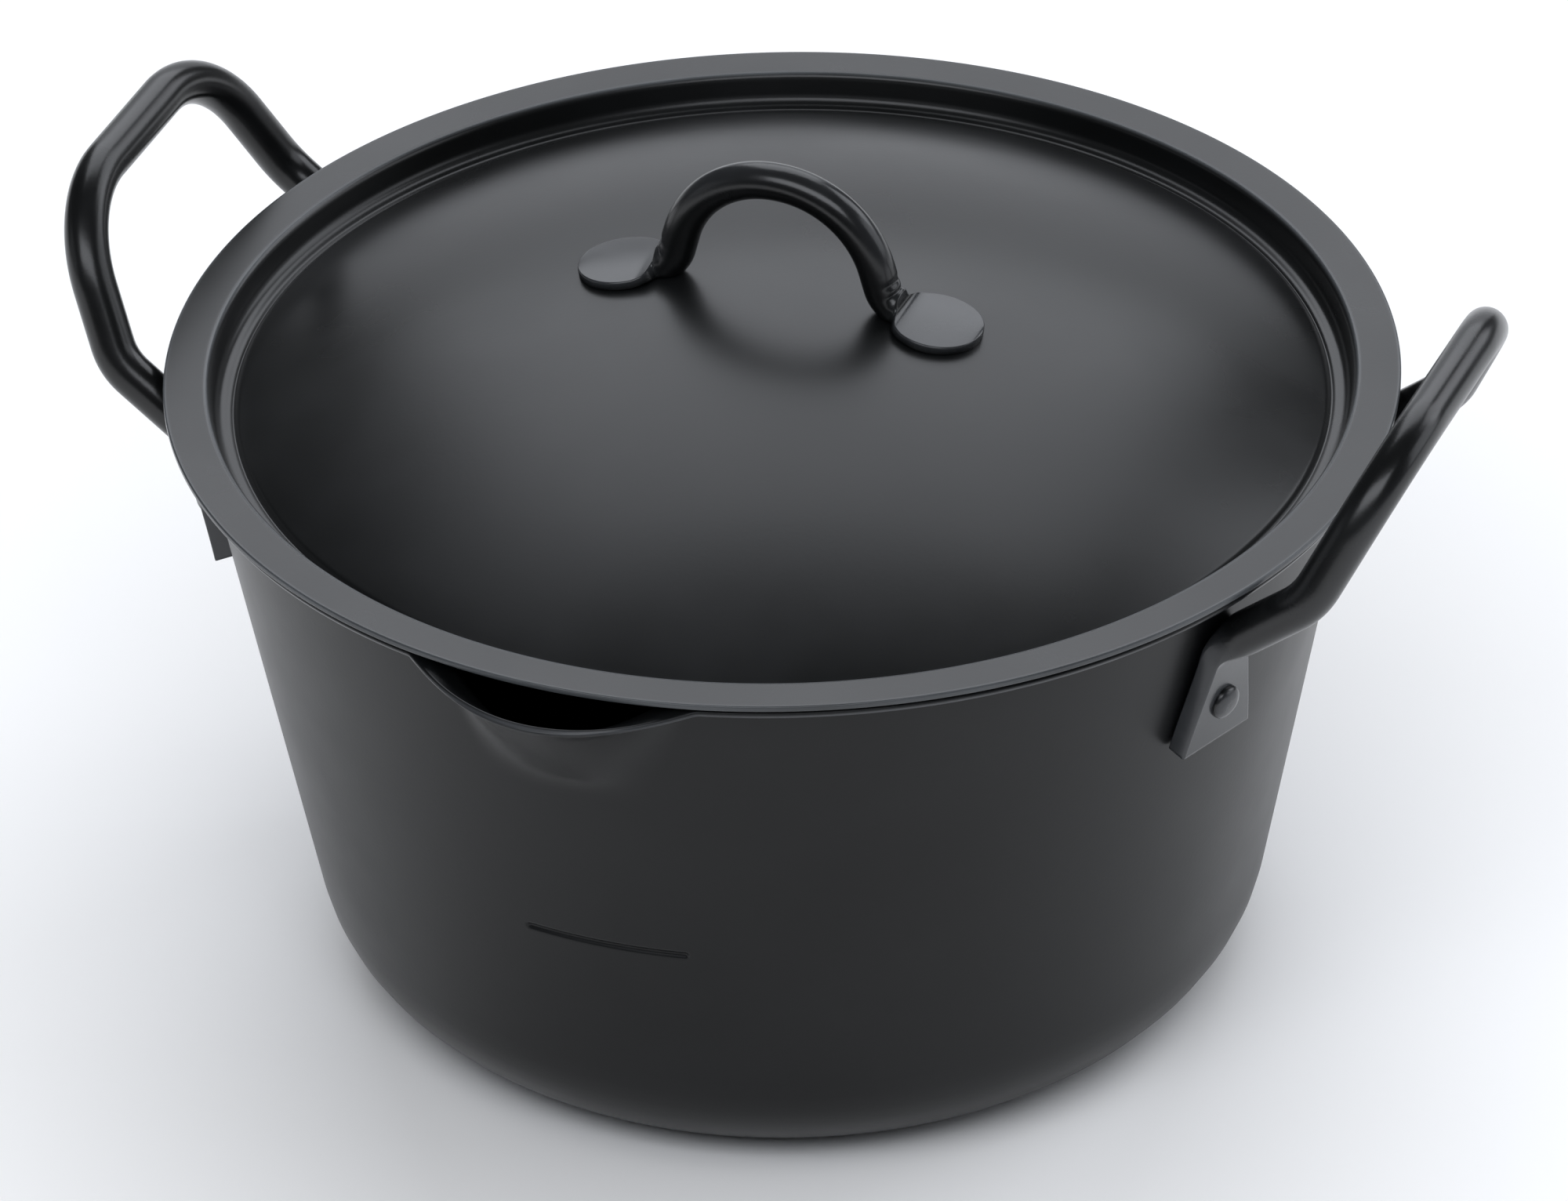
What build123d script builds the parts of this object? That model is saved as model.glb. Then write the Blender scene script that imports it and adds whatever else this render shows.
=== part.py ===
from build123d import *
import os
from math import asin, atan, cos, degrees, radians, sin, sqrt, tan

# Covered sheet-iron pot with a pressed pouring spout and two riveted loop handles.
# Millimetres, +Z up. The origin is the centre of the pot's flat base underside.
# The side handles lie along X and the spout and the level groove face -Y.

# ---- driving dimensions -------------------------------------------------------------------
POT_SHEET = 1.6          # drawn iron sheet of the pot
BASE_RADIUS = 95.2       # where the wall line meets the base plane
WALL_FLARE = 0.1891      # outward run of the wall per millimetre of height
BASE_CORNER = 28.7       # outer radius between the wall and the base
RIM_CROWN = 135.8        # highest ring of the rim, on which the lid lies
CROWN_WIDTH = 1.0        # flat land on that ring
LIP_RADIUS = 125.8       # outer edge of the turned-out lip
LIP_DROOP = 30.0         # degrees that the lip slopes down
LIP_EDGE_DROP = 1.45     # the lip's upper edge is this much lower than the crown

SPOUT_LIP_RADIUS = 34.0  # plan radius of the spout's outer skin at its lip
SPOUT_REACH = 138.6      # from the pot's axis to the spout's front at the crown's height
SPOUT_ROOT_Z = 104.0     # where the spout grows out of the wall
SPOUT_ROOT_RADIUS = 20.0
SPOUT_DROP = 3.3         # the tip is this much lower than the rim's crown
SPOUT_HALF_WIDTH = 27.0  # half the width over which the lip is lowered

MARK_Z = 62.9            # level groove pressed into the wall
MARK_AZIMUTH = -88.3
MARK_HALF_ANGLE = 9.0
MARK_RADIUS = 0.95
MARK_DEPTH = 0.7

LID_SHEET = 1.3          # pressed iron sheet of the lid
LID_RADIUS = 127.0
RECESS_MOUTH = 117.6     # where the recess wall meets the flat flange
RECESS_DEPTH = 6.5       # from the flange down to the sunken ring
RECESS_OUTER = 116.4     # where the recess wall meets the sunken ring
CREASE_RADIUS = 113.0    # where the dome rises from the sunken ring
DOME_SPHERE = 267.4      # radius of the dome's upper face

BAR_RADIUS = 4.6         # round bar of the side handles
TAB_THICKNESS = 4.3
TAB_AZIMUTH = 20.6       # from the handle's centre line to each tab
TAB_TOP_Z = 121.0
TAB_BOTTOM_Z = 96.8
TAB_TOP_HALF_WIDTH = 6.0
TAB_BOTTOM_HALF_WIDTH = 10.2
TAB_END_SLANT = 0.6      # the tab's end is this much shorter at its back
TAB_CORNER = 1.5         # plan radius of the two lower corners
TAB_SHOULDER = 4.2       # plan radius of the two upper corners
TAB_EDGE = 0.8           # rounding round the tab's face
ELBOW = (130.4, 42.4, 134.5)         # the bar's centre line bends up here
LOOP_CORNER = (144.6, 32.0, 164.0)   # and across here
ELBOW_BEND = 14.5
LOOP_BEND = 25.0

RIVET_Z = 107.2
RIVET_SHANK = 2.5
RIVET_HEAD = 3.7         # radius of the head on the tab
RIVET_HEAD_HEIGHT = 2.2
RIVET_RIM_HEIGHT = 1.2   # height of the head's upright side
RIVET_CROWN = 2.0        # radius of the head's flatter middle, and of the bend round it
RIVET_TAIL = 4.2         # radius of the formed head inside the pot
RIVET_TAIL_HEIGHT = 1.4
RIVET_TAIL_GAP = 0.1     # keeps the formed head clear of the curved wall

GRIP_RADIUS = 3.9        # round bar of the lid handle
GRIP_TOP = 25.3          # centre line above the dome's crown
GRIP_SHOULDER = 17.0     # half span between the corners that the arch rounds off
GRIP_HEEL = 23.4         # half span where the legs turn into the feet
GRIP_ARCH_BEND = 22.0
GRIP_HEEL_BEND = 7.5
FOOT_RADIUS = 9.75
FOOT_THICKNESS = 2.0
FOOT_END = 44.0          # from the lid's axis to a foot's outer end
GRIP_HEEL_HEIGHT = 2.8   # centre line above the dome where a leg turns into its foot
GRIP_RUN_IN = 2.0        # the bar's end runs this far short of the foot's centre

# ---- worked out from them ------------------------------------------------------------------
WALL_ANGLE = degrees(atan(WALL_FLARE))
SHEET_ACROSS = POT_SHEET / cos(radians(WALL_ANGLE))
FLANGE_TOP = RIM_CROWN + LID_SHEET
RECESS_Z = FLANGE_TOP - RECESS_DEPTH
DOME_CENTRE_Z = RECESS_Z - sqrt(DOME_SPHERE**2 - CREASE_RADIUS**2)
DOME_TOP = DOME_CENTRE_Z + DOME_SPHERE
FOOT_CENTRE = FOOT_END - FOOT_RADIUS
CLEAR = RIM_CROWN * 2    # tall enough for any cutter to pass right through
SIDES = (-1, 1)


def wall_radius(z):
    """Outer radius of the straight wall at height z."""
    return BASE_RADIUS + WALL_FLARE * z


def dome_z(x):
    """Height of the dome's upper face at distance x from the axis."""
    return DOME_CENTRE_Z + sqrt(DOME_SPHERE**2 - x**2)


def turned(corners):
    """A solid of revolution about Z from (radius, height, bend) corners."""
    points = [(r, 0, z) for r, z, bend in corners]
    bends = [bend for r, z, bend in corners]
    outline = FilletPolyline(*points, radius=bends, close=True)
    return revolve(make_face(outline), Axis.Z)


def cone_inside(offset, top):
    """Everything within the wall's outer face moved outwards by offset, up to height top."""
    bottom = -POT_SHEET
    return turned([
        (0, bottom, 0),
        (wall_radius(bottom) + offset, bottom, 0),
        (wall_radius(top) + offset, top, 0),
        (0, top, 0),
    ])


# ---- pot body ------------------------------------------------------------------------------
def pan_shell():
    """The drawn pan: base, rounded corner, tapered wall and turned-out lip, as one sheet."""
    droop = radians(LIP_DROOP)
    edge_top_z = RIM_CROWN - LIP_EDGE_DROP
    edge_low = (LIP_RADIUS - POT_SHEET * sin(droop), edge_top_z - POT_SHEET * cos(droop))
    crown_out = LIP_RADIUS - LIP_EDGE_DROP / tan(droop)
    # The lip's lower face runs back from edge_low, rising at the droop angle, to the wall.
    root_z = (edge_low[1] + (edge_low[0] - BASE_RADIUS) * tan(droop)) / (1 + WALL_FLARE * tan(droop))
    return turned([
        (0, 0, 0),
        (BASE_RADIUS, 0, BASE_CORNER),
        (wall_radius(root_z), root_z, 2.0),
        (edge_low[0], edge_low[1], 0.5),
        (LIP_RADIUS, edge_top_z, 0.5),
        (crown_out + CROWN_WIDTH / 2, RIM_CROWN, 2.0),
        (wall_radius(RIM_CROWN) - SHEET_ACROSS, RIM_CROWN, 1.9),
        (BASE_RADIUS - SHEET_ACROSS + WALL_FLARE * POT_SHEET, POT_SHEET, BASE_CORNER - POT_SHEET),
        (0, POT_SHEET, 0),
    ])


def spout_skin(inset, top):
    """A leaning cone that widens upwards to the spout's lip, smaller all round by inset."""
    lean = (SPOUT_REACH - SPOUT_LIP_RADIUS - wall_radius(SPOUT_ROOT_Z) + SPOUT_ROOT_RADIUS) / (
        RIM_CROWN - SPOUT_ROOT_Z)
    spread = (SPOUT_LIP_RADIUS - SPOUT_ROOT_RADIUS) / (RIM_CROWN - SPOUT_ROOT_Z)
    root_centre = wall_radius(SPOUT_ROOT_Z) - SPOUT_ROOT_RADIUS
    rise = top - SPOUT_ROOT_Z
    low = Pos(0, -root_centre, SPOUT_ROOT_Z) * Circle(SPOUT_ROOT_RADIUS - inset)
    high = Pos(0, -root_centre - lean * rise, top) * Circle(SPOUT_ROOT_RADIUS + spread * rise - inset)
    return loft([low, high])


def lip_dip():
    """A lying cylinder that lowers the spout's lip in one shallow curve."""
    radius = (SPOUT_HALF_WIDTH**2 + SPOUT_DROP**2) / (2 * SPOUT_DROP)
    inner_end = wall_radius(RIM_CROWN) - 2 * SHEET_ACROSS
    outer_end = SPOUT_REACH + SHEET_ACROSS
    middle = Pos(0, -(inner_end + outer_end) / 2, RIM_CROWN - SPOUT_DROP + radius)
    return middle * Rot(90, 0, 0) * Cylinder(radius, outer_end - inner_end)


def level_groove(inwards):
    """A round-nosed bead along the wall: at 0 it cuts the groove, a sheet further in it is its ridge."""
    path_radius = wall_radius(MARK_Z) + MARK_RADIUS - MARK_DEPTH - inwards
    disc = make_face(Plane.XZ * Pos(path_radius, MARK_Z) * Circle(MARK_RADIUS).edge())
    bead = Rot(0, 0, MARK_AZIMUTH - MARK_HALF_ANGLE) * revolve(disc, Axis.Z, 2 * MARK_HALF_ANGLE)
    for side in SIDES:
        turn = Rot(0, 0, MARK_AZIMUTH + side * MARK_HALF_ANGLE)
        bead += turn * Pos(path_radius, 0, MARK_Z) * Sphere(MARK_RADIUS)
    return bead


def tab_frame(side_x, side_y):
    """Frame on the wall at a rivet: local Z points out of the wall and local Y up the wall."""
    azimuth = radians(TAB_AZIMUTH)
    along = Vector(side_x * cos(azimuth), side_y * sin(azimuth), 0)
    tilt = radians(WALL_ANGLE)
    outward = along * cos(tilt) - Vector(0, 0, sin(tilt))
    level = Vector(0, 0, 1).cross(along)
    return Plane(origin=along * wall_radius(RIVET_Z) + Vector(0, 0, RIVET_Z), x_dir=level, z_dir=outward)


def rivet_bore(side_x, side_y):
    """The cylinder that a rivet fills, through the tab and the wall."""
    return tab_frame(side_x, side_y) * Cylinder(RIVET_SHANK, 6 * TAB_THICKNESS)


def pot_body():
    """The pan with its spout pressed out, its level groove and its four rivet holes."""
    pan = pan_shell()
    pan += spout_skin(0, RIM_CROWN) - cone_inside(-SHEET_ACROSS / 2, CLEAR)
    pan -= spout_skin(SHEET_ACROSS, RIM_CROWN + POT_SHEET)
    pan -= lip_dip()
    pan += level_groove(SHEET_ACROSS)
    pan -= level_groove(0)
    for side_x in SIDES:
        for side_y in SIDES:
            pan -= rivet_bore(side_x, side_y)
    return pan


# ---- side handles --------------------------------------------------------------------------
def loop_bar(side_x):
    """The round bar: out of one tab, up the leg, across the top and down to the other tab."""
    heel_radius = wall_radius(TAB_TOP_Z) + TAB_THICKNESS / 2
    heel_y = heel_radius * sin(radians(TAB_AZIMUTH))
    heel_x = heel_radius * cos(radians(TAB_AZIMUTH))
    half = [(heel_x, heel_y, TAB_TOP_Z), ELBOW, LOOP_CORNER]
    there = [(side_x * x, -y, z) for x, y, z in half]
    back = [(side_x * x, y, z) for x, y, z in reversed(half)]
    line = FilletPolyline(*there, *back, radius=[ELBOW_BEND, LOOP_BEND, LOOP_BEND, ELBOW_BEND])
    section = Plane(origin=line @ 0, z_dir=line % 0) * Circle(BAR_RADIUS)
    bar = sweep(section, path=line)
    for end in (0, 1):
        bar += Pos(*(line @ end)) * Sphere(BAR_RADIUS)
    return bar


def handle_tab(side_x, side_y):
    """The flattened end of the bar: a plate that widens downwards, with a slanting cut end."""
    rise = 1 / cos(radians(WALL_ANGLE))
    top = (TAB_TOP_Z - RIVET_Z) * rise
    bottom = (TAB_BOTTOM_Z - RIVET_Z) * rise
    outline = FilletPolyline(
        (-TAB_BOTTOM_HALF_WIDTH, bottom),
        (TAB_BOTTOM_HALF_WIDTH, bottom),
        (TAB_TOP_HALF_WIDTH, top),
        (-TAB_TOP_HALF_WIDTH, top),
        radius=[TAB_CORNER, TAB_CORNER, TAB_SHOULDER, TAB_SHOULDER],
        close=True)
    # The blank starts inside the wall, which trims its back to the wall's curve.
    blank = Pos(0, 0, -TAB_THICKNESS) * extrude(make_face(outline), 2 * TAB_THICKNESS)
    face_edges = blank.faces().sort_by(Axis.Z)[-1].edges()
    blank = fillet(face_edges, TAB_EDGE)
    end_cut = make_face(Polyline(
        (bottom, TAB_THICKNESS),
        (bottom + TAB_END_SLANT * 2, -TAB_THICKNESS),
        (bottom - TAB_THICKNESS, -TAB_THICKNESS),
        (bottom - TAB_THICKNESS, TAB_THICKNESS),
        close=True))
    end_cut = extrude(Plane.YZ * end_cut, 2 * TAB_BOTTOM_HALF_WIDTH, both=True)
    return tab_frame(side_x, side_y) * (blank - end_cut)


def side_handle(side_x):
    """One loop handle with its two tabs, seated on the wall and bored for the rivets."""
    handle = loop_bar(side_x)
    for side_y in SIDES:
        handle += handle_tab(side_x, side_y)
    handle -= cone_inside(0, CLEAR)
    for side_y in SIDES:
        handle -= rivet_bore(side_x, side_y)
    return handle


# ---- rivets --------------------------------------------------------------------------------
def rivet(side_x, side_y):
    """A solid rivet: low domed head on the tab, shank, and a flat formed head inside the pot."""
    head_low = TAB_THICKNESS
    tail_top = -SHEET_ACROSS - RIVET_TAIL_GAP
    body = turned([
        (0, head_low + RIVET_HEAD_HEIGHT, 0),
        (RIVET_CROWN, head_low + RIVET_HEAD_HEIGHT, RIVET_CROWN),
        (RIVET_HEAD, head_low + RIVET_RIM_HEIGHT, 0.4),
        (RIVET_HEAD, head_low, 0),
        (RIVET_SHANK, head_low, 0),
        (RIVET_SHANK, tail_top, 0),
        (RIVET_TAIL, tail_top, 0),
        (RIVET_TAIL, tail_top - RIVET_TAIL_HEIGHT, 0.6),
        (0, tail_top - RIVET_TAIL_HEIGHT, 0),
    ])
    return tab_frame(side_x, side_y) * body


# ---- lid -----------------------------------------------------------------------------------
def lid_pan():
    """The pressed lid: flat flange, sunken ring and domed middle, one sheet all over."""
    under_sphere = DOME_SPHERE - LID_SHEET
    under_z = RECESS_Z - LID_SHEET
    under_crease = sqrt(under_sphere**2 - (under_z - DOME_CENTRE_Z)**2)
    halfway = sin(asin(CREASE_RADIUS / DOME_SPHERE) / 2)
    top = ThreePointArc(
        (0, 0, DOME_TOP),
        (DOME_SPHERE * halfway, 0, DOME_CENTRE_Z + DOME_SPHERE * sqrt(1 - halfway**2)),
        (CREASE_RADIUS, 0, RECESS_Z))
    bottom = ThreePointArc(
        (under_crease, 0, under_z),
        (under_sphere * halfway, 0, DOME_CENTRE_Z + under_sphere * sqrt(1 - halfway**2)),
        (0, 0, DOME_TOP - LID_SHEET))
    crease = Line(top @ 1, bottom @ 0)
    middle = Line(bottom @ 1, top @ 0)
    dome = revolve(make_face(top + crease + bottom + middle), Axis.Z)
    ring = turned([
        (CREASE_RADIUS, RECESS_Z, 0),
        (RECESS_OUTER, RECESS_Z, 0.8),
        (RECESS_MOUTH, FLANGE_TOP, 1.6),
        (LID_RADIUS, FLANGE_TOP, 0.4),
        (LID_RADIUS, RIM_CROWN, 0.4),
        (RECESS_MOUTH + LID_SHEET, RIM_CROWN, 0.3),
        (RECESS_OUTER + LID_SHEET, under_z, 2.0),
        (under_crease, under_z, 0),
    ])
    return dome + ring


def lid_grip():
    """The arched lid handle: a bent round bar with two flattened feet that follow the dome."""
    heel_z = dome_z(GRIP_HEEL) + GRIP_HEEL_HEIGHT
    start_z = dome_z(FOOT_CENTRE) + FOOT_THICKNESS
    start = -FOOT_CENTRE + GRIP_RUN_IN
    half = [(start, start_z), (-GRIP_HEEL, heel_z), (-GRIP_SHOULDER, DOME_TOP + GRIP_TOP)]
    points = [(x, 0, z) for x, z in half] + [(-x, 0, z) for x, z in reversed(half)]
    line = FilletPolyline(*points, radius=[GRIP_HEEL_BEND, GRIP_ARCH_BEND, GRIP_ARCH_BEND, GRIP_HEEL_BEND])
    section = Plane(origin=line @ 0, z_dir=line % 0) * Circle(GRIP_RADIUS)
    grip = sweep(section, path=line)
    under_dome = Pos(0, 0, DOME_CENTRE_Z) * Sphere(DOME_SPHERE)
    over_feet = Pos(0, 0, DOME_CENTRE_Z) * Sphere(DOME_SPHERE + FOOT_THICKNESS)
    # The bar sinks into each foot, and what would stand proud of the foot's top is pressed flat.
    for side in SIDES:
        outer = Pos(side * FOOT_END, 0, 0) * Box(2 * FOOT_RADIUS, 2 * FOOT_RADIUS, 2 * CLEAR)
        grip -= outer - over_feet
    for side in SIDES:
        foot = Pos(side * FOOT_CENTRE, 0, DOME_TOP) * Cylinder(FOOT_RADIUS, 2 * GRIP_TOP)
        grip += foot & over_feet
    return grip - under_dome


# ---- write one solid per file --------------------------------------------------------------
pieces = {
    "pot_body": pot_body(),
    "handle_right": side_handle(1),
    "handle_left": side_handle(-1),
    "lid_pan": lid_pan(),
    "lid_handle": lid_grip(),
}
for x_name, side_x in (("right", 1), ("left", -1)):
    for y_name, side_y in (("front", -1), ("back", 1)):
        pieces[f"rivet_{x_name}_{y_name}"] = rivet(side_x, side_y)

os.makedirs("parts", exist_ok=True)
for name, solid in pieces.items():
    export_step(solid, f"parts/{name}.step")
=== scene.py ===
import bpy
import numpy as np
from mathutils import Matrix, Vector


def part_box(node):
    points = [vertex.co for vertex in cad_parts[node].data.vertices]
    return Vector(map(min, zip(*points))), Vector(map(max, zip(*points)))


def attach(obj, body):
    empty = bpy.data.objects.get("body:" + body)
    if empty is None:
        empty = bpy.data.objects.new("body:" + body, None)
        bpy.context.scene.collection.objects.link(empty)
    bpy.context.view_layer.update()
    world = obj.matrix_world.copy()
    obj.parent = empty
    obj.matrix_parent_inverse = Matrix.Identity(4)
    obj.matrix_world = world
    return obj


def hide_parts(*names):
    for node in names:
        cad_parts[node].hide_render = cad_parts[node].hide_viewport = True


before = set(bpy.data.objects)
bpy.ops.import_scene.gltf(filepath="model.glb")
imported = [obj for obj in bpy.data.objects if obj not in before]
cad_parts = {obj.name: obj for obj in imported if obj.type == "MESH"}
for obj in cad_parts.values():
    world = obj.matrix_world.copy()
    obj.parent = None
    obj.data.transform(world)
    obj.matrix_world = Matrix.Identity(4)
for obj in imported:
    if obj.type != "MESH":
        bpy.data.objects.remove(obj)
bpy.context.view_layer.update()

# ---- Pot -----------------------------------------------------------------------------------
# The pan is one iron sheet, 1.6 mm thick, drawn into a tapered pot whose rim is turned out and
# down. The pouring spout is pushed out of the rim in a second pressing, which straightens the
# lip there, and a short level groove is pressed into the wall below it.
MM = 0.001
pot_low, pot_high = (np.array(corner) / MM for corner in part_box("pot_body"))
SHEET = 1.6
SHEET_ACROSS = 1.63           # the same sheet measured level, through the leaning wall
RIM_TOP = pot_high[2]
LIP_RADIUS = pot_high[0] + 0.2
LIP_DROOP = np.radians(30)
LIP_EDGE_DROP = 1.45
BASE_RADIUS = 95.2
BASE_CORNER = 28.7
WALL_FLARE = 0.1891
PLAIN_WALL_TOP = 100.0        # the rim and the spout are shaped above this height
SPOUT_TIP = -pot_low[1] - 0.1
SPOUT_ROOT = 107.0
SPOUT_LIP_LOW = RIM_TOP - 4.1
SPOUT_LIP_HIGH = RIM_TOP - 3.1
SPOUT_HALF_ANGLE = 14.5
GROOVE_Z = 62.9
GROOVE_AZIMUTH = -88.3
GROOVE_HALF_ANGLE = 9.0
GROOVE_HALF_WIDTH = 1.15
GROOVE_DEPTH = 0.7
EDGE_BEND = 0.5               # bends are radii, and spacings are distances between points
LIP_BEND = 2.0
MOUTH_BEND = 1.9
SPOUT_EDGE_BEND = 0.35
SPOUT_OUTER_BEND = 12.0
SPOUT_INNER_BEND = 10.0
RIM_SPACING = 0.4
BASE_SPACING = 4.5
OUTER_RIM_ROWS = 46


def wall(z):
    """Outer radius of the plain wall at a height: the base radius plus the flare times the height."""
    return BASE_RADIUS + WALL_FLARE * z


def bent_line(corners, bends, spacing):
    """Points along straight runs joined by tangent arcs. An arc of radius R that turns by T leaves
    its run R tan(T/2) before the corner, and its centre is R / cos(T/2) from the corner."""
    corners = np.asarray(corners, float)
    parts = []
    here = corners[0]
    for before, corner, after, bend in zip(corners, corners[1:], corners[2:], bends):
        back = (before - corner) / np.linalg.norm(before - corner)
        ahead = (after - corner) / np.linalg.norm(after - corner)
        turn = np.pi - np.arccos(np.clip(back @ ahead, -1, 1))
        start = corner + bend * np.tan(turn / 2) * back
        inward = (back + ahead) / np.linalg.norm(back + ahead)
        centre = corner + bend / np.cos(turn / 2) * inward
        run_points = int(np.ceil(np.linalg.norm(start - here) / spacing))
        parts.append(np.linspace(here, start, run_points, endpoint=False))
        arc_points = int(np.ceil(max(bend * turn / spacing, turn / 0.22)))
        angle = np.linspace(0, turn, arc_points, endpoint=False)[:, None]
        parts.append(centre + np.cos(angle) * (start - centre) - np.sin(angle) * bend * back)
        here = corner + bend * np.tan(turn / 2) * ahead
    run_points = int(np.ceil(np.linalg.norm(corners[-1] - here) / spacing))
    parts.append(np.linspace(here, corners[-1], run_points + 1))
    return np.concatenate(parts)


def at_shares(line, shares):
    """Points at the given shares of a line's length, read off its running length."""
    steps = np.linalg.norm(np.diff(line, axis=0), axis=1)
    length = np.concatenate([[0], np.cumsum(steps)])
    return np.stack([np.interp(shares * length[-1], length, column) for column in line.T], axis=-1)


def smooth_step(value):
    """The cubic 3v^2 - 2v^3 of a value held between 0 and 1."""
    held = np.clip(value, 0, 1)
    return held * held * (3 - 2 * held)


def skin(name, grid, wear_and_highlight, first_pole, last_pole):
    """A closed shell from rows of points. Each row is a ring, neighbouring rows are joined by
    quads that face outwards, and each end is closed by a fan on its pole. The third argument is one
    number from 0 to 1 for each point, kept as an attribute: how far the colour is painted paler, partly
    edge wear and partly painted highlight."""
    rows, columns = grid.shape[:2]
    points = np.concatenate([grid.reshape(-1, 3), [first_pole], [last_pole]]) * MM
    number = np.arange(rows * columns).reshape(rows, columns)
    beside = np.roll(number, -1, axis=1)
    quads = np.stack([number[:-1], beside[:-1], beside[1:], number[1:]], axis=-1).reshape(-1, 4)
    first = np.full(columns, rows * columns)
    first_fan = np.stack([first, beside[0], number[0]], axis=-1)
    last_fan = np.stack([first + 1, number[-1], beside[-1]], axis=-1)
    mesh = bpy.data.meshes.new(name)
    mesh.from_pydata(points.tolist(), [], quads.tolist() + first_fan.tolist() + last_fan.tolist())
    mesh.attributes.new("wear_and_highlight", "FLOAT", "POINT").data.foreach_set(
        "value", np.concatenate([wear_and_highlight.ravel(), [0, 0]]).astype(np.float32))
    mesh.polygons.foreach_set("use_smooth", np.ones(len(mesh.polygons), bool))
    mesh.update()
    piece = bpy.data.objects.new(name, mesh)
    bpy.context.scene.collection.objects.link(piece)
    return piece


def pot_azimuths():
    """Angles round the pot, closer together where the spout and the groove's ends need them: each
    step is one over a density that is 1 plus a bump at each of those places."""
    fine = np.linspace(-180, 180, 7201)
    density = 1 + 2.2 * (np.abs(fine + 90) < SPOUT_HALF_ANGLE + 2)
    for end in (GROOVE_AZIMUTH - GROOVE_HALF_ANGLE, GROOVE_AZIMUTH + GROOVE_HALF_ANGLE):
        density += 5 * (np.abs(fine - end) < 1.2)
    running = np.concatenate([[0], np.cumsum((density[1:] + density[:-1]) / 2)])
    return np.radians(np.interp(np.linspace(0, running[-1], 430, endpoint=False), running, fine))


def rim_sections():
    """The wall above PLAIN_WALL_TOP as two sections with the same number of points: the plain rim,
    turned out and down, and the middle of the spout, which leans straight out to its cut edge.
    Each goes up the outer face to the middle of the edge and down the inner face."""
    lip_edge = (LIP_RADIUS, RIM_TOP - LIP_EDGE_DROP)
    lip_edge_low = (LIP_RADIUS - SHEET * np.sin(LIP_DROOP), lip_edge[1] - SHEET * np.cos(LIP_DROOP))
    edge_middle = np.add(lip_edge, lip_edge_low) / 2
    rise = np.tan(LIP_DROOP)
    root_z = (lip_edge_low[1] + (lip_edge_low[0] - BASE_RADIUS) * rise) / (1 + WALL_FLARE * rise)
    crown = (LIP_RADIUS - LIP_EDGE_DROP / rise + 0.5, RIM_TOP)
    outer_foot = (wall(PLAIN_WALL_TOP), PLAIN_WALL_TOP)
    inner_foot = (wall(PLAIN_WALL_TOP) - SHEET_ACROSS, PLAIN_WALL_TOP)
    plain_out = bent_line(
        [outer_foot, (wall(root_z), root_z), lip_edge_low, edge_middle], [LIP_BEND, EDGE_BEND], RIM_SPACING)
    inner_turn = (wall(RIM_TOP) - SHEET_ACROSS, RIM_TOP)
    plain_in = bent_line(
        [edge_middle, lip_edge, crown, inner_turn, inner_foot],
        [EDGE_BEND, LIP_BEND, MOUTH_BEND], RIM_SPACING)

    tip_low = (SPOUT_TIP, SPOUT_LIP_LOW)
    tip_high = (SPOUT_TIP - 1.25, SPOUT_LIP_HIGH)
    tip_middle = np.add(tip_low, tip_high) / 2
    spout_out = bent_line(
        [outer_foot, (wall(SPOUT_ROOT), SPOUT_ROOT), tip_low, tip_middle],
        [SPOUT_OUTER_BEND, SPOUT_EDGE_BEND], RIM_SPACING)
    inner_root = (wall(SPOUT_ROOT) - SHEET_ACROSS, SPOUT_ROOT + 0.6)
    spout_in = bent_line(
        [tip_middle, tip_high, inner_root, inner_foot], [SPOUT_EDGE_BEND, SPOUT_INNER_BEND], RIM_SPACING)

    towards_edge = 1 - (1 - np.linspace(0, 1, OUTER_RIM_ROWS)) ** 1.7
    from_edge = np.linspace(0, 1, 60)[1:] ** 1.7
    plain = np.concatenate([at_shares(plain_out, towards_edge), at_shares(plain_in, from_edge)])
    spout = np.concatenate([at_shares(spout_out, towards_edge), at_shares(spout_in, from_edge)])
    height = np.concatenate([towards_edge, 1 - from_edge])
    return plain, spout, height


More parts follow.
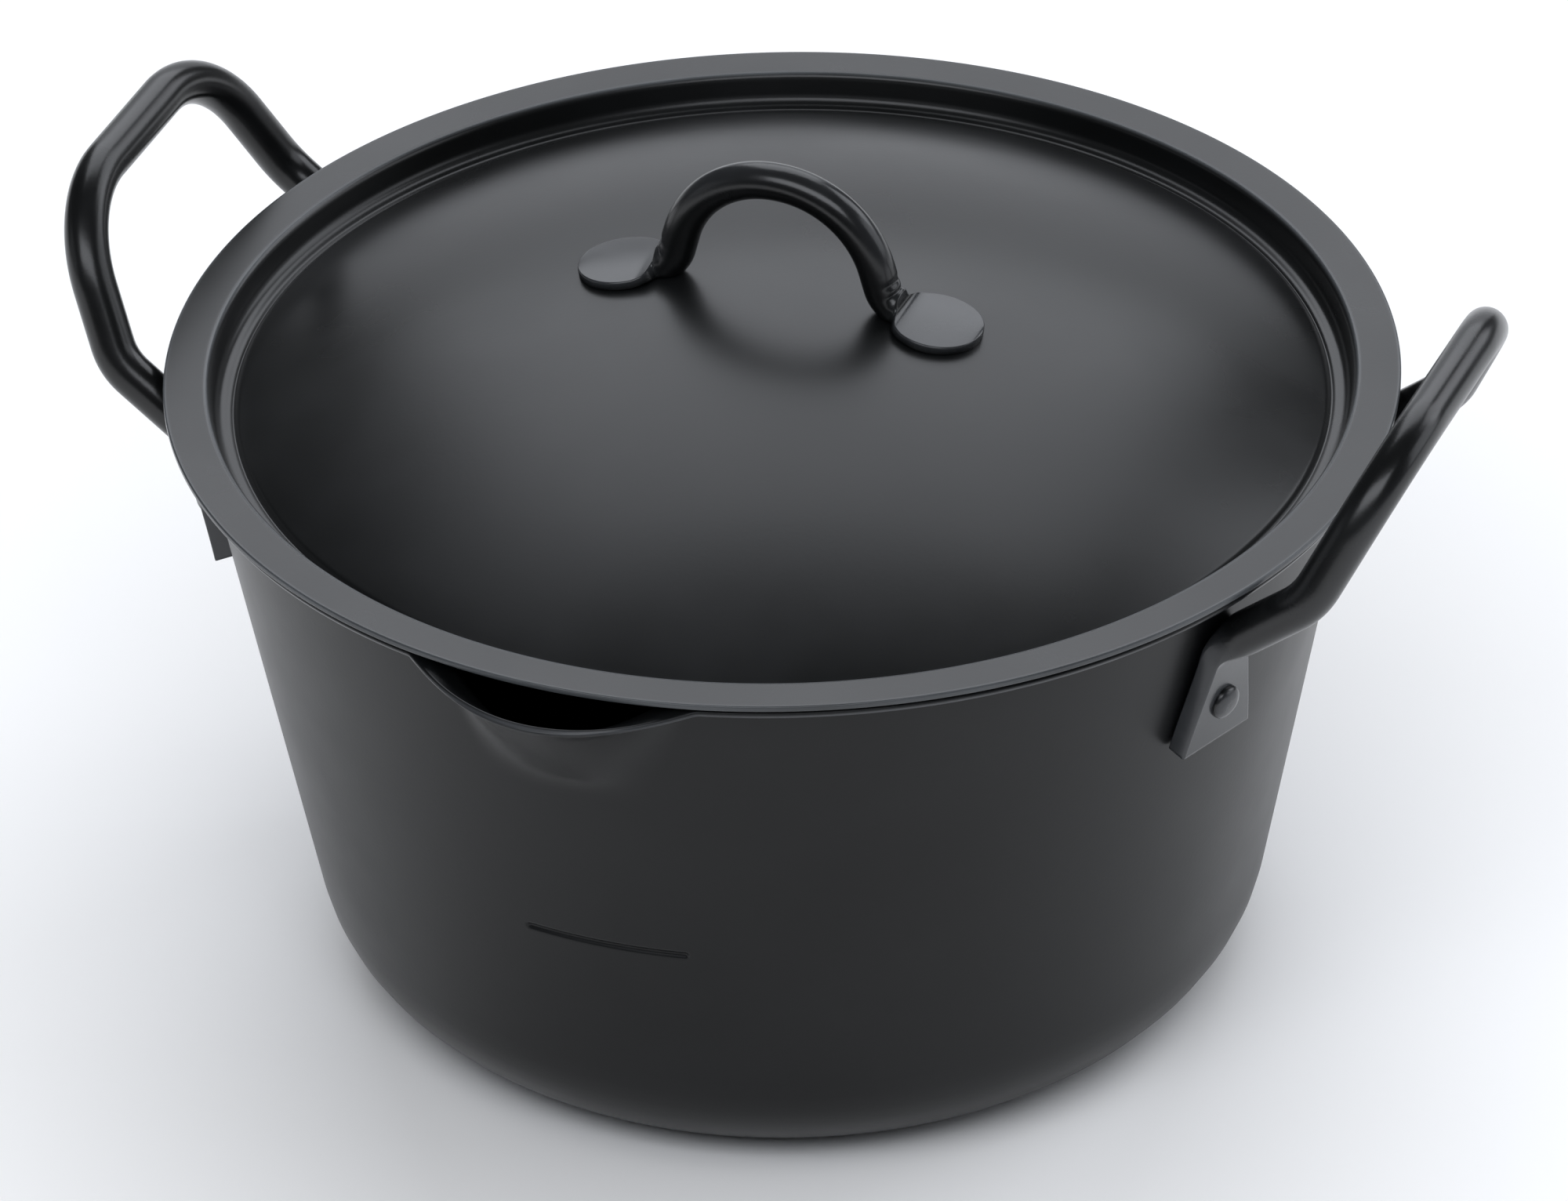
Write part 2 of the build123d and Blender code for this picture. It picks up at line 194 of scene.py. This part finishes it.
def pot_skin():
    """The pot's skin over azimuth and the distance along its section. The rim is the plain section
    mixed with the spout's by a weight that is 1 at the spout's middle and falls to 0 at its sides
    like a cosine, whose power grows down the wall. The groove pushes both faces inwards by a
    squared cosine of the distance from its line."""
    azimuth = pot_azimuths()
    groove_rows = np.linspace(GROOVE_Z - 2.4, GROOVE_Z + 2.4, 19)
    wall_rows = np.concatenate([groove_rows, np.linspace(69, PLAIN_WALL_TOP, 9, endpoint=False)])
    low_foot = (wall(groove_rows[0] - 1), groove_rows[0] - 1)
    outer_low = bent_line([(2, 0), (BASE_RADIUS, 0), low_foot], [BASE_CORNER], BASE_SPACING)
    outer_wall = np.stack([wall(wall_rows), wall_rows], axis=-1)
    inner_wall = outer_wall[::-1] - [SHEET_ACROSS, 0]
    inner_corner = (BASE_RADIUS - SHEET_ACROSS + WALL_FLARE * SHEET, SHEET)
    inner_low = bent_line(
        [np.subtract(low_foot, [SHEET_ACROSS, 0]), inner_corner, (2, SHEET)],
        [BASE_CORNER - SHEET], BASE_SPACING)

    plain, spout, height = rim_sections()
    offset = (np.degrees(azimuth) + 90) / SPOUT_HALF_ANGLE
    width = 0.62 + 0.38 * height[:, None]
    weight = np.cos(np.pi / 2 * np.clip(offset / width, -1, 1)) ** (0.95 + 1.2 * (1 - height[:, None]))
    softness = 0.04
    weight = (np.sqrt(weight**2 + softness**2) - softness) / (np.sqrt(1 + softness**2) - softness)
    rim = plain[:, None] + weight[..., None] * (spout - plain)[:, None]

    below = np.concatenate([outer_low, outer_wall])[:, None].repeat(azimuth.size, axis=1)
    above = np.concatenate([inner_wall, inner_low])[:, None].repeat(azimuth.size, axis=1)
    section = np.concatenate([below, rim, above])
    radius, height = section[..., 0], section[..., 1]

    sideways = np.degrees(azimuth) - GROOVE_AZIMUTH
    past_end = np.radians(np.clip(np.abs(sideways) - GROOVE_HALF_ANGLE, 0, None)) * wall(GROOVE_Z)
    distance = np.hypot(past_end[None], height - GROOVE_Z) / GROOVE_HALF_WIDTH
    pressed = np.cos(np.pi / 2 * np.clip(distance, 0, 1)) ** 2 * (radius > BASE_RADIUS)
    radius = radius - GROOVE_DEPTH * pressed

    grid = np.stack([radius * np.cos(azimuth), radius * np.sin(azimuth), height], axis=-1)
    # Painted highlight, partly edge wear: the lip's edge is painted paler over about seven rows each way,
    # where its rounded edge catches the light.
    edge_row = len(below) + OUTER_RIM_ROWS - 1
    from_edge = np.abs(np.arange(len(section)) - edge_row)[:, None]
    wear_and_highlight = np.repeat(smooth_step(1 - from_edge / 7), azimuth.size, axis=1)
    return skin("pot_pan", grid, wear_and_highlight, (0, 0, 0), (0, 0, SHEET))


def add_node(tree, kind, values=None, links=None, **options):
    """Adds one node: its options, the values of its free sockets, and what its inputs link to."""
    node = tree.nodes.new(kind)
    for name, option in options.items():
        setattr(node, name, option)
    for socket, value in (values or {}).items():
        node.inputs[socket].default_value = value
    for socket, output in (links or {}).items():
        tree.links.new(output, node.inputs[socket])
    return node


def linear(hex_colour):
    """An sRGB hex colour as linear red, green, blue and alpha."""
    srgb = np.array([int(hex_colour[k:k + 2], 16) for k in (1, 3, 5)]) / 255
    low, high = srgb / 12.92, ((srgb + 0.055) / 1.055) ** 2.4
    return (*np.where(srgb <= 0.04045, low, high).tolist(), 1.0)


def baked_iron(name, deep, bloomed, wear_and_highlight_colour, roughness, cloud, peel, peel_height, ior):
    """Oil baked in thin coats onto sheet or bar iron. The coats pool and bloom in soft clouds and dry
    to a fine orange peel of the given size and height. Where the wear attribute is high the colour is
    painted paler and the roughness lower: partly edge wear, partly painted highlight where edges and tops
    catch the light.
    Sizes are in millimetres."""
    material = bpy.data.materials.new(name)
    material.use_nodes = True
    tree = material.node_tree
    tree.nodes.clear()
    place = add_node(tree, "ShaderNodeTexCoord").outputs["Object"]
    clouds = add_node(
        tree, "ShaderNodeTexNoise", {"Scale": 1 / (cloud * MM), "Detail": 4.0, "Roughness": 0.55},
        {"Vector": place})
    coat = add_node(
        tree, "ShaderNodeMapRange", {"From Min": 0.35, "From Max": 0.65}, {"Value": clouds.outputs["Fac"]})
    colour = add_node(
        tree, "ShaderNodeMix", {6: linear(deep), 7: linear(bloomed)}, {0: coat.outputs["Result"]},
        data_type="RGBA")
    grain = add_node(
        tree, "ShaderNodeTexNoise", {"Scale": 1 / (peel * MM), "Detail": 3.0, "Roughness": 0.5},
        {"Vector": place})
    edge = add_node(tree, "ShaderNodeAttribute", attribute_name="wear_and_highlight")
    broken = add_node(
        tree, "ShaderNodeMapRange", {"From Min": 0.25, "From Max": 0.7, "To Min": 0.35, "To Max": 1.0},
        {"Value": clouds.outputs["Fac"]})
    # Painted highlight, partly edge wear: where the wear attribute is high, broken up by the clouds, the
    # colour is mixed towards the pale colour.
    wear_and_highlight_mix = add_node(
        tree, "ShaderNodeMath", {}, {0: edge.outputs["Fac"], 1: broken.outputs["Result"]},
        operation="MULTIPLY")
    shown = add_node(
        tree, "ShaderNodeMix", {7: linear(wear_and_highlight_colour)}, {0: wear_and_highlight_mix.outputs["Value"], 6: colour.outputs[2]},
        data_type="RGBA")
    sheen = add_node(
        tree, "ShaderNodeMapRange",
        {"From Min": 0.3, "From Max": 0.7, "To Min": roughness - 0.04, "To Max": roughness + 0.05},
        {"Value": clouds.outputs["Fac"]})
    smoother = add_node(
        tree, "ShaderNodeMath", {1: -0.08}, {0: wear_and_highlight_mix.outputs["Value"], 2: sheen.outputs["Result"]},
        operation="MULTIPLY_ADD")
    bump = add_node(
        tree, "ShaderNodeBump", {"Strength": 1.0, "Distance": peel_height * MM},
        {"Height": grain.outputs["Fac"]})
    surface = add_node(
        tree, "ShaderNodeBsdfPrincipled", {"IOR": ior, "Metallic": 0.0},
        {"Base Color": shown.outputs[2], "Roughness": smoother.outputs["Value"],
         "Normal": bump.outputs["Normal"]})
    add_node(tree, "ShaderNodeOutputMaterial", {}, {"Surface": surface.outputs["BSDF"]})
    return material


# Sheet iron with its oil baked on looks satin black: a soft broad highlight, faint clouds where
# the coat is thicker, and a peel so fine that it only dulls the reflection.
pan_iron = baked_iron(
    "oil-baked sheet iron, drawn", deep="#08090a", bloomed="#101112", wear_and_highlight_colour="#4a4c4f",
    roughness=0.34, cloud=55, peel=0.9, peel_height=0.010, ior=1.35)
pot_pan = pot_skin()
pot_pan.data.materials.append(pan_iron)
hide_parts("pot_body")
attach(pot_pan, "pot")

# ---- Rivets --------------------------------------------------------------------------------
# Four solid iron rivets hold the handles. Each has a low hammered head on the handle's tab and a
# flat head closed against the inside of the wall.
WALL_TILT = np.arctan(WALL_FLARE)
RIVET_Z = 107.2
TAB_THICKNESS = 4.3
TAB_AZIMUTH = np.radians(20.6)
RIVET_HEAD = 3.7
RIVET_HEAD_HEIGHT = 2.2
RIVET_SHANK = 2.5
RIVET_TAIL = 4.2
RIVET_TAIL_HEIGHT = 1.4


def on_wall(side_x, side_y, z):
    """A point of the wall's outer face at a tab's azimuth, and the directions outwards, level
    round the wall and up it."""
    away = np.array([side_x * np.cos(TAB_AZIMUTH), side_y * np.sin(TAB_AZIMUTH), 0])
    outward = away * np.cos(WALL_TILT) - np.array([0, 0, np.sin(WALL_TILT)])
    level = np.cross([0, 0, 1], away)
    return away * wall(z) + np.array([0, 0, z]), outward, level, np.cross(outward, level)


def set_rivet(name, side_x, side_y):
    """A rivet turned about its own axis from a rounded profile, with its head's radius varied by
    three and five waves round, as hammer blows leave it."""
    head_low = TAB_THICKNESS - 0.05
    tail_top = -SHEET_ACROSS - 0.05
    tail_low = tail_top - RIVET_TAIL_HEIGHT
    profile = bent_line(
        [(0.2, tail_low), (RIVET_TAIL, tail_low), (RIVET_TAIL, tail_top), (RIVET_SHANK, tail_top),
         (RIVET_SHANK, head_low), (RIVET_HEAD, head_low), (RIVET_HEAD, head_low + 1.1),
         (2.2, head_low + RIVET_HEAD_HEIGHT - 0.1), (0.2, head_low + RIVET_HEAD_HEIGHT)],
        [0.6, 0.2, 0.2, 0.2, 0.15, 1.2, 3.4], 0.3)
    turn = np.linspace(0, 2 * np.pi, 56, endpoint=False)
    beaten = np.sin(3 * turn + side_x) * 0.012 + np.sin(5 * turn + 2 * side_y) * 0.01
    radius = profile[:, :1] * (1 + beaten)
    centre, outward, level, up = on_wall(side_x, side_y, RIVET_Z)
    across = level * np.cos(turn)[:, None] + up * np.sin(turn)[:, None]
    grid = centre + radius[..., None] * across + profile[:, 1:, None] * outward
    # Painted highlight, partly rubbed wear: each head is painted paler up its dome towards the top.
    wear_and_highlight = smooth_step((profile[:, 1] - head_low - 0.6) / 1.2)[:, None] * np.full(turn.size, 0.7)
    poles = (centre + outward * profile[0, 1], centre + outward * profile[-1, 1])
    return skin(name, grid, wear_and_highlight, *poles)


# Bar iron takes the same baked oil a little heavier and glossier. Its tops and edges are painted paler:
# partly rubbed wear, partly painted highlight where they catch the light.
bar_iron = baked_iron(
    "oil-baked bar iron, forged", deep="#090a0a", bloomed="#101112", wear_and_highlight_colour="#3c3e41",
    roughness=0.25, cloud=24, peel=0.8, peel_height=0.014, ior=1.5)
SIDES = {"right": 1, "left": -1}
ENDS = {"front": -1, "back": 1}
for side, side_x in SIDES.items():
    for end, side_y in ENDS.items():
        rivet = set_rivet(f"set_rivet_{side}_{end}", side_x, side_y)
        rivet.data.materials.append(bar_iron)
        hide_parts(f"rivet_{side}_{end}")
        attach(rivet, "pot")

# ---- Side handles --------------------------------------------------------------------------
# Each handle is one 9.2 mm round bar bent into a loop. Its ends are forged flat into tabs that
# widen downwards, are cut off nearly square and lie against the wall, one rivet through each.
BAR_RADIUS = 4.6
TAB_TOP = 121.0
TAB_BOTTOM = 96.8
TAB_HALF_WIDTHS = (10.2, 5.9)
TAB_EDGE = 0.6
TAB_END_SLANT = 0.6
ELBOW = (130.4, 42.4, 134.5)
LOOP_CORNER = (144.6, 32.0, 164.0)
HEEL_BEND = 3.5
ELBOW_BEND = 14.5
LOOP_BEND = 25.0
HANDLE_ROWS = 261


def rounded_section(half_width, half_height, corner):
    """Rows of points round rounded rectangles, one rectangle for each item of the three arrays. A
    quarter is the arc of its corner, and a round bar is where all three are equal."""
    in_quarter = np.radians([3, 13, 24, 35, 45, 55, 66, 77, 87])
    quarters = np.radians([0, 90, 180, 270])
    angle = (quarters[:, None] + in_quarter).ravel()
    sign_x = np.sign(np.cos(angle))
    sign_y = np.sign(np.sin(angle))
    x = sign_x * (half_width - corner)[:, None] + corner[:, None] * np.cos(angle)
    y = sign_y * (half_height - corner)[:, None] + corner[:, None] * np.sin(angle)
    return x, y


def carried(line, facing, x, y, slide):
    """Section rows carried along a line: x is measured across it, y along the facing direction made
    square to the line, and slide moves a point along the line."""
    tangent = np.gradient(line, axis=0)
    tangent /= np.linalg.norm(tangent, axis=1, keepdims=True)
    square = facing - tangent * np.sum(facing * tangent, axis=1, keepdims=True)
    square /= np.linalg.norm(square, axis=1, keepdims=True)
    across = np.cross(square, tangent)
    return (line[:, None] + x[..., None] * across[:, None] + y[..., None] * square[:, None]
            + slide[..., None] * tangent[:, None])


def shrunk(ring, share):
    """A ring of points drawn in towards its middle."""
    middle = ring.mean(axis=0)
    return middle + (ring - middle) * share


def loop_handle(name, side_x):
    """A rounded section carried from one tab's cut end, up the wall, round the loop and down to the
    other. Its half width, thickness and corner radius change from the tab's to the bar's over the
    last stretch below the heel. The cut end is sheared by its small slant and closed by rings drawn
    in towards its middle."""
    front, outward = on_wall(side_x, -1, TAB_BOTTOM)[:2]
    lift = outward * TAB_THICKNESS / 2
    tab_top = on_wall(side_x, -1, TAB_TOP)[0]
    this_side = (side_x, -1, 1)
    half = [
        front + lift, tab_top + lift, np.multiply(ELBOW, this_side), np.multiply(LOOP_CORNER, this_side)]
    mirror = np.array([1, -1, 1])
    corners = half + [corner * mirror for corner in reversed(half)]
    bends = [HEEL_BEND, ELBOW_BEND, LOOP_BEND, LOOP_BEND, ELBOW_BEND, HEEL_BEND]
    line = bent_line(corners, bends, 0.9)
    steps = np.linalg.norm(np.diff(line, axis=0), axis=1)
    length = np.concatenate([[0], np.cumsum(steps)])
    share = np.linspace(0, 1, HANDLE_ROWS)
    line = at_shares(line, share)
    from_end = np.minimum(share, 1 - share) * length[-1]
    tab_length = (TAB_TOP - TAB_BOTTOM) / np.cos(WALL_TILT)

    along_tab = np.clip(from_end / tab_length, 0, 1)
    tab_half_width = TAB_HALF_WIDTHS[0] + (TAB_HALF_WIDTHS[1] - TAB_HALF_WIDTHS[0]) * along_tab
    round_bar = smooth_step((from_end - tab_length + 2.5) / 8)
    half_width = tab_half_width + (BAR_RADIUS - tab_half_width) * round_bar
    half_height = TAB_THICKNESS / 2 + (BAR_RADIUS - TAB_THICKNESS / 2) * round_bar
    corner = TAB_EDGE + (BAR_RADIUS - TAB_EDGE) * round_bar**1.3

    swing = np.sign(share - 0.5) * TAB_AZIMUTH * (1 - smooth_step(from_end / tab_length / 2))
    lean = np.arctan2(LOOP_CORNER[0] - ELBOW[0], LOOP_CORNER[2] - ELBOW[2])
    tilt = lean + (WALL_TILT - lean) * (1 - smooth_step(from_end / tab_length / 1.6))
    facing = np.stack(
        [side_x * np.cos(swing) * np.cos(tilt), np.sin(swing) * np.cos(tilt), -np.sin(tilt)], axis=-1)

    x, y = rounded_section(half_width, half_height, corner)
    backward = np.sign(0.5 - share)[:, None] * (0.5 - y / TAB_THICKNESS)
    slide = TAB_END_SLANT * backward * smooth_step(1 - from_end / 14)[:, None] * (1 - round_bar)[:, None]
    grid = carried(line, facing, x, y, slide)
    # Painted highlight, partly rubbed wear: the tab's side edges are painted paler, and the round bar is
    # painted paler on its outward side.
    tab_edge_wear_and_highlight = np.abs(x) > (half_width - 1.3 * corner)[:, None]
    outer_side_wear_and_highlight = smooth_step(y / BAR_RADIUS)
    wear_and_highlight = 0.9 * tab_edge_wear_and_highlight * (1 - round_bar)[:, None] + 0.35 * round_bar[:, None] * outer_side_wear_and_highlight
    wear_and_highlight = np.pad(wear_and_highlight, ((2, 2), (0, 0)), mode="edge")
    first, last = grid[0], grid[-1]
    grid = np.concatenate([
        [shrunk(first, 0.6), shrunk(first, 0.9), first + 0.3 * (grid[1] - first)], grid[1:-1],
        [last + 0.3 * (grid[-2] - last), shrunk(last, 0.9), shrunk(last, 0.6)]])
    poles = (grid[0].mean(axis=0), grid[-1].mean(axis=0))
    return skin(name, grid, wear_and_highlight, *poles)


for side, side_x in SIDES.items():
    handle = loop_handle(f"loop_handle_{side}", side_x)
    handle.data.materials.append(bar_iron)
    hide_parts(f"handle_{side}")
    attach(handle, "pot")

# ---- Lid -----------------------------------------------------------------------------------
# The lid is pressed from one iron sheet, 1.3 mm thick: a flat flange that lies on the rim, a
# sunken ring with a round bottom that drops inside it, and a shallow dome that rises from a
# sharp crease.
lid_low, lid_high = (np.array(corner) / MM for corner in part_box("lid_pan"))
LID_SHEET = 1.3
LID_RADIUS = lid_high[0]
RECESS_DEPTH = 6.5
FLANGE_TOP = lid_low[2] + LID_SHEET + RECESS_DEPTH
RECESS_Z = lid_low[2] + LID_SHEET
RECESS_MOUTH = 117.6
RECESS_OUTER = 116.4
CREASE_RADIUS = 113.0
CREASE_DEPTH = 0.55
DOME_SPHERE = 267.4
DOME_CENTRE_Z = lid_high[2] - DOME_SPHERE


def dome_z(radius, sphere=DOME_SPHERE):
    """Height of the dome at a distance from the axis, on a sphere of the given radius."""
    return DOME_CENTRE_Z + np.sqrt(sphere**2 - radius**2)


def lid_skin():
    """The lid turned about its axis: out along the underside, round the flange's edge and back over
    the top to the middle. The crease lowers the top face by a bell curve of the radius."""
    inner_sphere = DOME_SPHERE - LID_SHEET
    under_z = RECESS_Z - LID_SHEET
    under_crease = np.sqrt(inner_sphere**2 - (under_z - DOME_CENTRE_Z) ** 2)
    join = CREASE_RADIUS - 4
    ring = bent_line(
        [(join, dome_z(join, inner_sphere)), (under_crease, under_z), (RECESS_OUTER + LID_SHEET, under_z),
         (RECESS_MOUTH + LID_SHEET, FLANGE_TOP - LID_SHEET), (LID_RADIUS, FLANGE_TOP - LID_SHEET),
         (LID_RADIUS, FLANGE_TOP), (RECESS_MOUTH, FLANGE_TOP), (RECESS_OUTER, RECESS_Z),
         (CREASE_RADIUS, RECESS_Z), (join, dome_z(join))],
        [0.6, 2.0, 0.3, 0.4, 0.4, 1.6, 2.3, 0.3], 0.4)
    ring[:, 1] -= CREASE_DEPTH * np.exp(-(((ring[:, 0] - CREASE_RADIUS + 0.3) / 0.55) ** 2)) * (
        ring[:, 1] > RECESS_Z - LID_SHEET / 2)
    middle = np.linspace(1.5, join, 44, endpoint=False)
    under = np.stack([middle, dome_z(middle, inner_sphere)], axis=-1)
    over = np.stack([middle, dome_z(middle)], axis=-1)[::-1]
    profile = np.concatenate([under, ring, over])
    turn = np.linspace(0, 2 * np.pi, 360, endpoint=False)
    radius = profile[:, :1]
    height = np.repeat(profile[:, 1:], turn.size, axis=1)
    grid = np.stack([radius * np.cos(turn), radius * np.sin(turn), height], axis=-1)
    # Painted highlight, partly edge wear: the flange's outer edge and the rounded mouth of the sunken ring
    # are painted paler, where those edges catch the light.
    lid_edge_wear_and_highlight = smooth_step(1 - (LID_RADIUS - profile[:, 0]) / 0.9)
    mouth_edge_wear_and_highlight = smooth_step(1 - np.abs(profile[:, 0] - RECESS_MOUTH - 0.7) / 0.7)
    lid_edge_wear_and_highlight += mouth_edge_wear_and_highlight * (profile[:, 1] > RECESS_Z + 5)
    wear_and_highlight = lid_edge_wear_and_highlight[:, None] * np.ones(turn.size)
    poles = ((0, 0, dome_z(0, inner_sphere)), (0, 0, dome_z(0)))
    return skin("lid_sheet", grid, wear_and_highlight, *poles)


lid_iron = baked_iron(
    "oil-baked sheet iron, pressed", deep="#090a0a", bloomed="#111213", wear_and_highlight_colour="#505356",
    roughness=0.29, cloud=70, peel=0.9, peel_height=0.008, ior=1.43)
lid_sheet = lid_skin()
lid_sheet.data.materials.append(lid_iron)
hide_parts("lid_pan")
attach(lid_sheet, "lid")

# ---- Lid handle ----------------------------------------------------------------------------
# One 7.8 mm round bar bent into an arch. Its ends are hammered into round spades, 2 mm thick,
# which are spot-welded to the dome. The tool that held the bar left a pinch beside each spade.
GRIP_RADIUS = 3.9
GRIP_TOP = 25.3
GRIP_SHOULDER = 17.0
GRIP_HEEL = 23.4
GRIP_HEEL_HEIGHT = 2.9
GRIP_ARCH_BEND = 22.0
GRIP_HEEL_BEND = 6.5
NECK = 29.0
NECK_BEND = 9.0
GRIP_ROWS = 281
FOOT_RADIUS = 9.75
FOOT_THICKNESS = 2.0
FOOT_END = 44.0
FOOT_CENTRE = FOOT_END - FOOT_RADIUS
FOOT_EDGE = 0.45
PINCH_ABOVE_HEEL = 5.5
PINCH_DEPTH = 0.45


def arched_grip():
    """A rounded section carried from one spade's end, over the arch and down to the other. A
    spade's half width is its circle's half chord and its underside follows the dome. A pinch is two
    dents across the bar's outer face, each falling off as a bell curve along it."""
    half = [
        (-FOOT_END, 0, dome_z(FOOT_END) + FOOT_THICKNESS / 2),
        (-NECK, 0, dome_z(NECK) + FOOT_THICKNESS / 2 + 0.2),
        (-GRIP_HEEL, 0, dome_z(GRIP_HEEL) + GRIP_HEEL_HEIGHT),
        (-GRIP_SHOULDER, 0, lid_high[2] + GRIP_TOP)]
    corners = np.array(half + [(-x, y, z) for x, y, z in reversed(half)])
    bends = [NECK_BEND, GRIP_HEEL_BEND, GRIP_ARCH_BEND]
    line = bent_line(corners, bends + bends[::-1], 0.5)
    line = at_shares(line, np.linspace(0, 1, GRIP_ROWS))
    reach = np.abs(line[:, 0])
    low = line[:, 2] < dome_z(GRIP_HEEL) + 9
    flat = smooth_step((reach - 24.2) / 3.4) * low
    chord = np.sqrt(np.clip(FOOT_RADIUS**2 - (reach - FOOT_CENTRE) ** 2, 0.36, None))
    half_width = np.where(reach < FOOT_CENTRE, np.maximum(chord * flat, GRIP_RADIUS), chord)
    half_height = GRIP_RADIUS + (FOOT_THICKNESS / 2 - GRIP_RADIUS) * flat
    corner = np.minimum(GRIP_RADIUS + (FOOT_EDGE - GRIP_RADIUS) * flat**0.7, half_width)
    x, y = rounded_section(half_width, half_height, corner)

    above_heel = line[:, 2] - dome_z(GRIP_HEEL) - PINCH_ABOVE_HEEL
    dents = np.exp(-((above_heel + 1.2) / 0.8) ** 2) + 0.8 * np.exp(-((above_heel - 1.8) / 0.7) ** 2)
    facing_out = smooth_step(y / GRIP_RADIUS)
    squeeze = 1 - PINCH_DEPTH / GRIP_RADIUS * dents[:, None] * facing_out * (1 - flat)[:, None]
    tangent = np.gradient(line, axis=0)
    facing = np.stack([-tangent[:, 2], 0 * reach, tangent[:, 0]], axis=-1)
    grid = carried(line, facing, x, y * squeeze, np.zeros_like(x))
    grid[..., 2] -= flat[:, None] * grid[..., 1] ** 2 / (2 * DOME_SPHERE)
    # Painted highlight, partly rubbed wear: the spades' upper edges and the bar's outer face round the arch
    # are painted paler.
    spade_edge_wear_and_highlight = flat[:, None] * (np.abs(x) > (half_width - 0.7)[:, None]) * (y > 0)
    wear_and_highlight = 0.6 * spade_edge_wear_and_highlight + 0.3 * (1 - flat)[:, None] * facing_out
    poles = (grid[0].mean(axis=0), grid[-1].mean(axis=0))
    return skin("arched_grip", grid, wear_and_highlight, *poles)


grip = arched_grip()
grip.data.materials.append(bar_iron)
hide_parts("lid_handle")
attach(grip, "lid")

# ---- Floor, light and camera ---------------------------------------------------------------
# A pale matt floor under soft studio light. A tall softbox in two strips stands behind the pot,
# with panels at the back right, at each side and in front for the bars, and the overhead panel
# lights the floor without showing in the gloss.
FLOOR_HALF_SIZE = 8.0
floor_corners = [
    (x * FLOOR_HALF_SIZE, y * FLOOR_HALF_SIZE, 0) for x, y in ((-1, -1), (1, -1), (1, 1), (-1, 1))]
floor_mesh = bpy.data.meshes.new("floor")
floor_mesh.from_pydata(floor_corners, [], [(0, 1, 2, 3)])
floor = bpy.data.objects.new("floor", floor_mesh)
bpy.context.scene.collection.objects.link(floor)
floor_paint = bpy.data.materials.new("pale matt floor")
floor_paint.use_nodes = True
floor_shader = floor_paint.node_tree.nodes["Principled BSDF"]
floor_shader.inputs["Base Color"].default_value = linear("#f4f4f4")
floor_shader.inputs["Roughness"].default_value = 0.9
floor_shader.inputs["Specular IOR Level"].default_value = 0.1
floor_mesh.materials.append(floor_paint)

CAMERA_AZIMUTH = np.radians(22.65)
CAMERA_ELEVATION = np.radians(31.92)
CAMERA_DISTANCE = 2.5
CAMERA_ROLL = np.radians(-1.33)
CAMERA_LENS = 279.66
CAMERA_AIM = Vector((-0.0005, -0.0005, 0.0797))
LIGHTS_AIM = Vector((0, 0, 0.08))
COOL_LIGHT = (0.95, 0.98, 1.04)
WHITE_LIGHT = (1, 1, 1)


def from_object(azimuth, elevation, distance, centre):
    """The point at an azimuth from -Y towards +X, an elevation and a distance from a centre."""
    return centre + distance * Vector((
        np.sin(azimuth) * np.cos(elevation), -np.cos(azimuth) * np.cos(elevation), np.sin(elevation)))


def facing_matrix(place, target, roll=0.0):
    """A placement at a point with local -Z on the target and local Y up, rolled about that line."""
    look = (target - place).normalized()
    right = look.cross(Vector((0, 0, 1))).normalized()
    up = right.cross(look)
    rolled_right = np.cos(roll) * right + np.sin(roll) * up
    rolled_up = np.cos(roll) * up - np.sin(roll) * right
    return Matrix.Translation(place) @ Matrix((rolled_right, rolled_up, -look)).transposed().to_4x4()


def panel(name, azimuth, elevation, distance, width, height, radiance, in_gloss=True):
    """A soft light panel that faces the pot, placed by degrees and metres. Its power is its
    radiance times pi times its area."""
    light = bpy.data.lights.new(name, "AREA")
    light.shape = "RECTANGLE"
    light.size = width
    light.size_y = height
    light.energy = radiance * np.pi * width * height
    light.color = COOL_LIGHT if in_gloss else WHITE_LIGHT
    lamp = bpy.data.objects.new(name, light)
    place = from_object(np.radians(azimuth), np.radians(elevation), distance, LIGHTS_AIM)
    lamp.matrix_world = facing_matrix(place, LIGHTS_AIM)
    lamp.visible_glossy = in_gloss
    bpy.context.scene.collection.objects.link(lamp)


# name, azimuth, elevation, distance, width, height, radiance
panel("back_low", 200.5, 9, 3.0, 2.4, 1.35, 0.75)
panel("back_high", 200.5, 47, 3.0, 2.4, 2.5, 2.35)
panel("back_right_panel", 143, 33, 3.0, 1.5, 1.9, 2.4)
panel("right_panel", 112, 20, 2.6, 1.8, 1.5, 1.4)
panel("left_panel", -62, 12, 2.6, 1.4, 0.9, 0.3)
panel("front_panel", 8, 46, 2.6, 2.7, 1.1, 3.2)
panel("overhead", 22, 80, 2.6, 3.6, 3.6, 1.2, in_gloss=False)

world = bpy.data.worlds.new("studio")
world.use_nodes = True
world.node_tree.nodes["Background"].inputs["Color"].default_value = (0.06, 0.062, 0.066, 1)
bpy.context.scene.world = world
bpy.context.scene.view_settings.view_transform = "Standard"

camera_data = bpy.data.cameras.new("camera")
camera_data.lens = CAMERA_LENS
camera_data.sensor_width = 36.0
camera_data.sensor_fit = "HORIZONTAL"
camera_data.clip_end = 50.0
camera = bpy.data.objects.new("camera", camera_data)
camera_centre = Vector((0, 0, FLANGE_TOP * MM))
camera.matrix_world = facing_matrix(
    from_object(CAMERA_AZIMUTH, CAMERA_ELEVATION, CAMERA_DISTANCE, camera_centre),
    CAMERA_AIM, CAMERA_ROLL)
bpy.context.scene.collection.objects.link(camera)
bpy.context.scene.camera = camera
